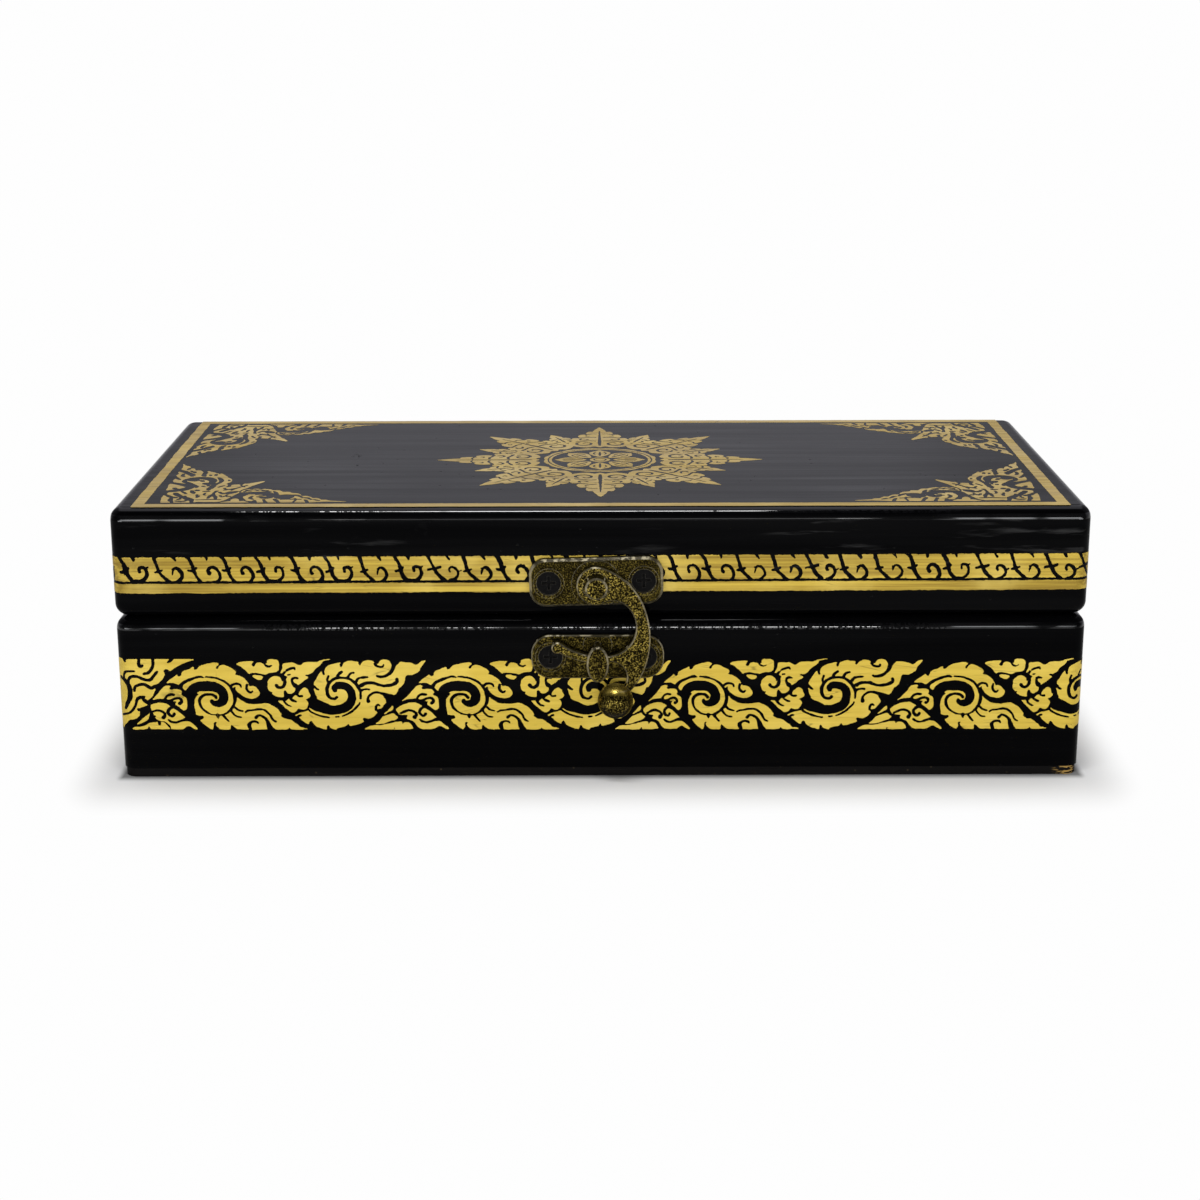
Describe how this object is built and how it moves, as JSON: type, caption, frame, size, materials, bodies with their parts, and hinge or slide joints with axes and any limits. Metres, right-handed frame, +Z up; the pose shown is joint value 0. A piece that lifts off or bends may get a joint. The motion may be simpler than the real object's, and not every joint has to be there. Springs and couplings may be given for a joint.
{
  "type": "lacquerware box",
  "caption": "Rectangular hinged box of black lacquered wood with gilded scroll bands, a velvet-lined inside and a brass swing-hook latch.",
  "frame": {"origin": "centre of the underside of the case, without the latch", "axes": "+X to the right along the front, +Y from the latch to the hinges, +Z up"},
  "size_m": [0.23, 0.116, 0.0662],
  "materials": {
    "lacquered_wood": "glossy black lacquer with gilded scroll bands, borders and corner ornaments",
    "bottom_board": "thin board, matt black paint, rough cut edge",
    "velvet_lining": "dark red velvet on card",
    "antique_brass": "antiqued, dark speckled brass, rubbed bright on edges",
    "hinge_brass": "plain brass, slightly dulled",
    "black_screws": "black oxide, satin"
  },
  "bodies": {
    "base": {"base_front_wall": "lacquered_wood", "base_back_wall": "lacquered_wood", "base_left_wall": "lacquered_wood", "base_right_wall": "lacquered_wood", "base_bottom_board": "bottom_board", "base_floor_lining": "velvet_lining", "base_front_lining": "velvet_lining", "base_back_lining": "velvet_lining", "base_left_lining": "velvet_lining", "base_right_lining": "velvet_lining", "left_hinge_base_leaf": "hinge_brass", "right_hinge_base_leaf": "hinge_brass", "left_hinge_pin": "hinge_brass", "right_hinge_pin": "hinge_brass", "base_hinge_screws": "hinge_brass", "latch_lower_plate": "antique_brass", "latch_keeper_post": "antique_brass", "latch_lower_screws": "black_screws"},
    "lid": {"lid_front_rail": "lacquered_wood", "lid_back_rail": "lacquered_wood", "lid_left_rail": "lacquered_wood", "lid_right_rail": "lacquered_wood", "lid_top_panel": "lacquered_wood", "lid_top_lining": "velvet_lining", "left_hinge_lid_leaf": "hinge_brass", "right_hinge_lid_leaf": "hinge_brass", "lid_hinge_screws": "hinge_brass", "latch_upper_plate": "antique_brass", "latch_pivot_rivet": "antique_brass", "latch_upper_screws": "black_screws"},
    "latch_arm": {"latch_swing_arm": "antique_brass"}
  },
  "joints": [
    {"name": "lid_hinge", "type": "hinge", "parent": "base", "child": "lid", "pos_m": [0, 0.0518, 0.0398], "axis": [-1, 0, 0], "range_deg": [0, 108]},
    {"name": "latch_swing", "type": "hinge", "parent": "lid", "child": "latch_arm", "pos_m": [-0.0011, -0.057, 0.04855], "axis": [0, -1, 0], "range_deg": [-28, 120]}
  ]
}
